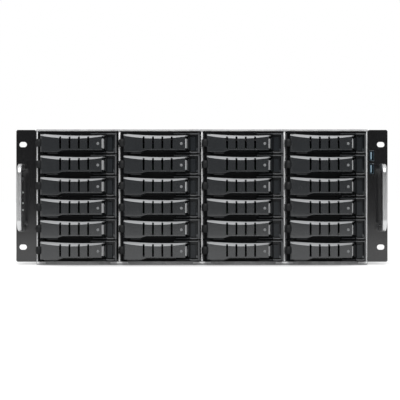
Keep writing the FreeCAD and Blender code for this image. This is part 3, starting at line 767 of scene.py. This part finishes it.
def roundInside(bm, node, look):  # the ears turn back beside the body, with a round top corner
    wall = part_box("chassis_base")[1].x
    low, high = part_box(node)

    def along(edge, test):
        return all(abs(abs(vert.co.x) - wall) < tolerance and test(vert.co) for vert in edge.verts)

    corners = [edge for edge in bm.edges if along(edge, lambda place: abs(place.z - high.z) < tolerance)]
    roundEdges(bm, corners, look["innerCorner"], segments=5)
    fronts = [edge for edge in bm.edges if along(edge, lambda place: abs(place.y - low.y) < tolerance)]
    roundEdges(bm, fronts, look["innerEdge"], segments=4)


def roundFolds(bm, node, look):  # bent sheet is round along its outer folds
    low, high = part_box(node)
    levels = [level for level, name in ((low.z, "bottom"), (high.z, "top")) if name in look["folds"]]

    def folded(place):
        return abs(place.x) > high.x - tolerance and any(abs(place.z - level) < tolerance for level in levels)

    folds = [edge for edge in bm.edges if all(folded(vert.co) for vert in edge.verts)]
    folds = [edge for edge in folds if abs(edge.verts[0].co.y - edge.verts[1].co.y) > mm]
    roundEdges(bm, folds, look["foldRadius"], segments=4)


def axleOf(node):
    joints = frame["record"]["behaviour"]["joints"]
    return [Vector(joint["pos_m"]) for joint in joints if joint["child"] == node][0]


def roundOpenings(bm, radius, sides, cuts):  # the partition's many-sided openings follow the fans' bores
    reach = radius / math.cos(math.pi / sides)
    for axle in [axleOf("fan_rotor_" + side) for side in fanSides]:

        def away(vert):
            return math.hypot(vert.co.x - axle.x, vert.co.z - axle.z)

        ring = [edge for edge in bm.edges if edge.calc_length() < radius
                and abs(edge.verts[0].co.y - edge.verts[1].co.y) < 0.1 * tolerance
                and all(abs(away(vert) - reach) < tolerance for vert in edge.verts)]
        bmesh.ops.subdivide_edges(bm, edges=ring, cuts=cuts, use_grid_fill=True)
        for vert in bm.verts:
            out = away(vert)
            if radius < out < reach + tolerance:
                vert.co.x = axle.x + (vert.co.x - axle.x) * radius / out
                vert.co.z = axle.z + (vert.co.z - axle.z) * radius / out


def dressShell(node, look):
    bm = mergedCopy(node)
    low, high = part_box(node)
    materials = [look["material"]]

    def addFinish(material, faces):
        materials.append(material)
        paint(faces, len(materials) - 1)

    if "folds" in look:
        roundFolds(bm, node, look)
    if "frontEdgePaintedLight" in look:  # the front edges have a finish of their own: painted highlight on the cage, painted shade on the floor's lip
        corner = Vector((high.x, low.y + frontDepth, high.z))
        addFinish(look["frontEdgePaintedLight"], facesInside(bm, low - Vector((1, 1, 1)), corner))
    if "slotCovers" in look:  # they close the expansion slots from behind the rear panel
        corners = [Vector((0, high.y, 0)) + Vector(place) * mm for place in look["slotCovers"]]
        addFinish(metals["cageSteel"], facesInside(bm, *corners))
    if "topEdgePaintedHighlight" in look:  # the front edge of the panel over the cage is painted brighter as a highlight
        lowest = Vector((low.x, low.y - mm, high.z - look["topDepth"]))
        corner = Vector((high.x, low.y + frontDepth, high.z + mm))
        addFinish(look["topEdgePaintedHighlight"], facesInside(bm, lowest, corner))
    if "partition" in look:  # the widest solid is the sheet that carries the fans
        wide = []
        for island in islands(bm):
            left, right = extent(island, 0)
            wide += island if right - left > wideSolid else []
        addFinish(look["partition"], wide)
        roundOpenings(bm, **look["openings"])
    if "innerEdge" in look:
        roundInside(bm, node, look)
    finishPiece(look["piece"], bm, materials, look["body"], [node], look["edges"])


# the cage's dividers stand on turned feet on the floor's lip, painted pale as a highlight
footLook = {"reach": 11.5, "low": 1.8, "high": 4.0, "thickness": 0.7, "rounding": 0.15}


def dividerFeet(look):
    bm = bmesh.new()
    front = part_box("chassis_base")[0].y / mm
    first = bayCorner("r%d_c1" % rowCount).x / mm - bayLook["divider"] / 2
    for column in range(columnCount + 1):
        left = -look["reach"] if column else 0
        right = look["reach"] if column < columnCount else 0
        across = first + column * bayLook["pitch"] + (left + right) / 2
        centre = Vector((across, front - look["thickness"] / 2, (look["low"] + look["high"]) / 2))
        size = Vector((right - left, look["thickness"], look["high"] - look["low"]))
        matrix = Matrix.Translation(centre * mm) @ Matrix.Diagonal((*size * mm, 1))
        softBlock(bm, matrix, look["rounding"] * mm, segments=2)
    finishPiece("dividerFeet", bm, [metals["cutEdgePaintedHighlight"]], "chassis")


dividerFeet(footLook)
for node, look in shellLooks.items():
    dressShell(node, {**shellBase, **look})
print("shells:", len(shellLooks))

# heads of the screws and rivets that hold the panels: places in millimetres from the body's front and floor
screwLook = {"radius": 2.9, "height": 0.5, "crown": 0.35, "arm": 0.62, "slit": 0.13, "pit": 0.7,
             "skirt": -0.3, "turn": 37.0, "earLeg": 2.5,
             "ear": {"depth": 28.0, "heights": (20.0, 64.0, 108.0, 152.0)},
             "cage": {"depths": (72.0, 146.0), "heights": (34.0, 142.0)},
             "panel": {"depths": (18.0, 150.0), "across": (-176.0, -60.0, 60.0, 176.0)},
             "cover": {"depths": (196.0, 420.0, 640.0), "drop": 8.4}}
rivetLook = {"radius": 2.4, "height": 0.9, "rearInset": 5.2, "rearHeights": (20.0, 88.0, 156.0),
             "wallInset": 9.0, "wallHeights": (10.0, 88.0, 150.0), "floorRise": 6.0,
             "floorDepths": (230.0, 370.0, 510.0)}


def screwHead(bm, look, place):  # a grid pressed round, with its middle cross let in
    steps = [-1.0, -look["arm"], -look["slit"], look["slit"], look["arm"], 1.0]
    cells = len(steps) - 1
    sheet = bmesh.ops.create_grid(bm, x_segments=cells, y_segments=cells, size=1.0)["verts"]
    for vert in sheet:
        u, v = [steps[round((part + 1) * cells / 2)] for part in vert.co[:2]]
        x, y = u * math.sqrt(1 - v * v / 2), v * math.sqrt(1 - u * u / 2)
        vert.co = Vector((x, y, 1 - look["crown"] * (x * x + y * y)))
    faces = facesOf(sheet)
    rim = [edge for edge in {edge for face in faces for edge in face.edges} if edge.is_boundary]
    cross = []
    for face in faces:
        near, far = sorted(abs(part) for part in face.calc_center_median()[:2])
        if near < look["slit"] / 2 and far < look["arm"]:
            cross.append(face)
    sunk = ofKind(bmesh.ops.extrude_face_region(bm, geom=cross)["geom"], BMVert)
    bmesh.ops.translate(bm, vec=(0, 0, -look["pit"]), verts=sunk)
    skirt = bmesh.ops.extrude_edge_only(bm, edges=rim)["geom"]
    foot = ofKind(skirt, BMVert)
    for vert in foot:
        vert.co.z = look["skirt"]
    ring = [edge for edge in ofKind(skirt, BMEdge) if all(vert in foot for vert in edge.verts)]
    bmesh.ops.edgeloop_fill(bm, edges=ring)
    head = [vert for vert in set(sheet) | set(sunk) | set(foot) if vert.is_valid]
    size = Matrix.Diagonal((look["radius"] * mm, look["radius"] * mm, look["height"] * mm, 1))
    bmesh.ops.transform(bm, matrix=place @ size, verts=head)


def facing(spot, side, turn=0.0):  # stands a head on a wall, with its own turn
    upright = Vector((0, 0, 1)).rotation_difference(Vector(side)).to_matrix().to_4x4()
    return Matrix.Translation(Vector(spot)) @ upright @ Matrix.Rotation(math.radians(turn), 4, "Z")


def screwSet(name, spots, material, body):
    bm = bmesh.new()
    for index, (spot, side) in enumerate(spots):
        screwHead(bm, screwLook, facing(spot, side, index * screwLook["turn"]))
    bmesh.ops.recalc_face_normals(bm, faces=bm.faces)
    finishPiece(name, bm, [material], body)


def rivetSet(look, low, high):
    bm = bmesh.new()
    spots = []
    for side in (-1, 1):
        for height in look["rearHeights"]:
            spots.append(((side * (high.x - look["rearInset"] * mm), high.y, height * mm), (0, 1, 0)))
        for height in look["wallHeights"]:
            spots.append(((side * high.x, high.y - look["wallInset"] * mm, height * mm), (side, 0, 0)))
        for depth in look["floorDepths"]:
            spots.append(((side * high.x, low.y + depth * mm, look["floorRise"] * mm), (side, 0, 0)))
    size = Matrix.Diagonal((2 * look["radius"] * mm, 2 * look["radius"] * mm, 2 * look["height"] * mm, 1))
    for spot, side in spots:
        matrix = facing(spot, side) @ size
        bmesh.ops.create_uvsphere(bm, u_segments=14, v_segments=8, radius=0.5, matrix=matrix)
    finishPiece("bodyRivets", bm, [metals["screwZinc"]], "chassis")
    return len(spots)


def placeFasteners(look):
    low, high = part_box("chassis_base")
    earSide, coverSide = high.x + look["earLeg"] * mm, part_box("top_cover")[1].x
    coverHeight = high.z - look["cover"]["drop"] * mm
    ears, steel, cover = [], [], []
    for side in (-1, 1):
        for height in look["ear"]["heights"]:
            ears.append(((side * earSide, low.y + look["ear"]["depth"] * mm, height * mm), (side, 0, 0)))
        for depth in look["cage"]["depths"]:
            for height in look["cage"]["heights"]:
                steel.append(((side * high.x, low.y + depth * mm, height * mm), (side, 0, 0)))
        for depth in look["cover"]["depths"]:
            cover.append(((side * coverSide, low.y + depth * mm, coverHeight), (side, 0, 0)))
    for depth in look["panel"]["depths"]:
        for across in look["panel"]["across"]:
            steel.append(((across * mm, low.y + depth * mm, high.z), (0, 0, 1)))
    screwSet("earScrews", ears, plastics["switchBlack"], "chassis")
    screwSet("bodyScrews", steel, metals["screwZinc"], "chassis")
    screwSet("coverScrews", cover, metals["screwZinc"], "top_cover")
    print("screws:", len(ears) + len(steel) + len(cover), "rivets:", rivetSet(rivetLook, low, high))


placeFasteners(screwLook)

# front controls: sockets with blue tongues, lenses, the power switch
controlLook = {"edges": {"width": 0.0002, "segments": 2}, "tongueLimit": 0.003,
               "buttonEdges": {"width": 0.0004, "segments": 3}}
controlFinishes = {"shell": plastics["socketShell"], "tongue": plastics["socketTongue"], "lens": lensPale,
                   "switch": plastics["switchBlack"]}


def dressControls(look):
    bm = mergedCopy("front_controls")
    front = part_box("rack_ears")[0].y
    for face in bm.faces:
        middle = face.calc_center_median()
        name = "lens" if middle.y < front + mm else "switch"
        face.material_index = indexOf(controlFinishes, "shell" if middle.x > 0 else name)
    for island in islands(bm):  # the tongues are the narrow solids on the socket side
        left, right = extent(island, 0)
        if left > 0 and right - left < look["tongueLimit"]:
            paint(island, indexOf(controlFinishes, "tongue"))
    finishPiece("frontControls", bm, controlFinishes.values(), "chassis",
                ["front_controls"], look["edges"])
    finishPiece("powerButton", mergedCopy("power_button"), [plastics["switchBlack"]], "power_button",
                ["power_button"], look["buttonEdges"])


dressControls(controlLook)
print("controls")


def dressBackplanes(look):
    bm = mergedCopy("backplanes")
    for face in bm.faces:
        left, right = extent([face], 0)
        face.material_index = 0 if right - left > wideSolid else 1
    finishPiece("backplaneBoards", bm, [board, plastics["connectorBlack"]], "chassis",
                ["backplanes"], look["edges"])


dressBackplanes(boardLook)

# fan rotor: a round cap with cambered blades that flatten toward their tips, in millimetres
rotorLook = {"blades": 5, "hub": 19.0, "capRound": 2.4, "tip": 55.0, "rootChord": 24.0, "tipChord": 29.0,
             "rootPitch": 44.0, "tipPitch": 31.0, "rootSink": 1.0, "sweep": 14.0, "camber": 0.11,
             "thickness": 1.5}


def rotorHub(bm, look, depth):  # spun from its half outline: wall, rounded corner, face
    radius, bend = look["hub"], look["capRound"]
    outline = [(0, depth / 2), (radius, depth / 2), (radius, bend - depth / 2)]
    for turn in quarterTurns:
        outline.append((radius - bend + bend * math.cos(turn), bend - depth / 2 - bend * math.sin(turn)))
    outline.append((0, -depth / 2))
    spinLine(bm, [(across, along, 0) for across, along in outline], (0, 0, 0), axis=(0, 1, 0), steps=40)
    bmesh.ops.remove_doubles(bm, verts=bm.verts, dist=joinDistance)


def rotorBlade(bm, look, turn):
    sheet = bmesh.ops.create_grid(bm, x_segments=8, y_segments=8, size=1.0)["verts"]
    root = look["hub"] - look["rootSink"]
    for vert in sheet:
        out, chordwise = (vert.co.x + 1) / 2, vert.co.y
        chord = look["rootChord"] + out * (look["tipChord"] - look["rootChord"])
        pitch = math.radians(look["rootPitch"] + out * (look["tipPitch"] - look["rootPitch"]))
        along = chordwise * chord / 2
        lift = look["camber"] * chord * (1 - chordwise * chordwise)
        reach = root + out * (look["tip"] - root)
        side = along * math.cos(pitch) - lift * math.sin(pitch)
        angle = side / reach + math.radians(look["sweep"]) * out * out  # on a cylinder, so the tips are round
        depth = along * math.sin(pitch) + lift * math.cos(pitch) - look["camber"] * chord / 2
        vert.co = Vector((reach * math.sin(angle), depth, reach * math.cos(angle)))
    faces = list(facesOf(sheet))
    bmesh.ops.recalc_face_normals(bm, faces=faces)
    solid = bmesh.ops.solidify(bm, geom=faces, thickness=look["thickness"])["geom"]
    verts = {vert for face in ofKind(solid, BMFace) for vert in face.verts} | set(sheet)
    bmesh.ops.rotate(bm, cent=(0, 0, 0), matrix=Matrix.Rotation(turn, 3, "Y"), verts=list(verts))


def fanRotor(look, node):
    low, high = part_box(node)
    axle = axleOf(node)
    bm = bmesh.new()
    rotorHub(bm, look, (high.y - low.y) / mm)
    for index in range(look["blades"]):
        rotorBlade(bm, look, index * math.tau / look["blades"])
    bmesh.ops.recalc_face_normals(bm, faces=bm.faces)
    centre = Vector((axle.x, (low.y + high.y) / 2, axle.z))
    bmesh.ops.transform(bm, matrix=Matrix.Translation(centre) @ Matrix.Scale(mm, 4), verts=bm.verts)
    return bm


for side in fanSides:
    node = "fan_rotor_" + side
    rotor = fanRotor(rotorLook, node)
    finishPiece("fanBlades_" + side, rotor, [plastics["fanBlack"]], node, [node])
print("inside: backplanes, fans")
